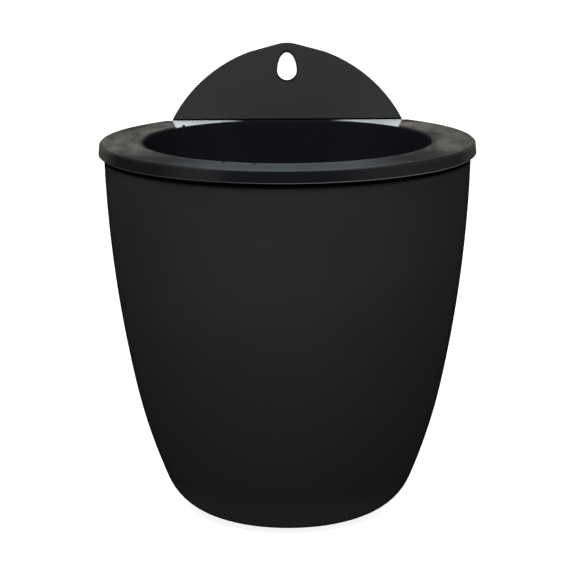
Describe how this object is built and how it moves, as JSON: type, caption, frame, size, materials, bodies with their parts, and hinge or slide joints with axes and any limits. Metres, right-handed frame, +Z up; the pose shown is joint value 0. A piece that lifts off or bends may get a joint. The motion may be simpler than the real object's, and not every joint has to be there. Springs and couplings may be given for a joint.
{
  "type": "wall planter",
  "caption": "Round wall planter with a flat back, an arched hanging tab with a teardrop hole, and a lift-out inner pot with a wide flange and skirt.",
  "frame": {"origin": "centre of the foot's underside, on the axis that both pots are turned about", "axes": "+Z up along that axis, +Y towards the wall, -Y the rounded front, +X to the right seen from the front"},
  "size_m": [0.1804, 0.1581, 0.221],
  "materials": {
    "outer_pot": "matte charcoal, fine moulded skin",
    "inner_pot": "semi-gloss black with a dusty haze on the flange"
  },
  "bodies": {
    "outer": {"outer_pot": "outer_pot"},
    "inner": {"inner_pot": "inner_pot"}
  },
  "joints": [
    {"name": "inner_pot_lift", "type": "slide", "parent": "outer", "child": "inner", "axis": [0, 0, 1], "range_m": [0, 0.19]}
  ]
}
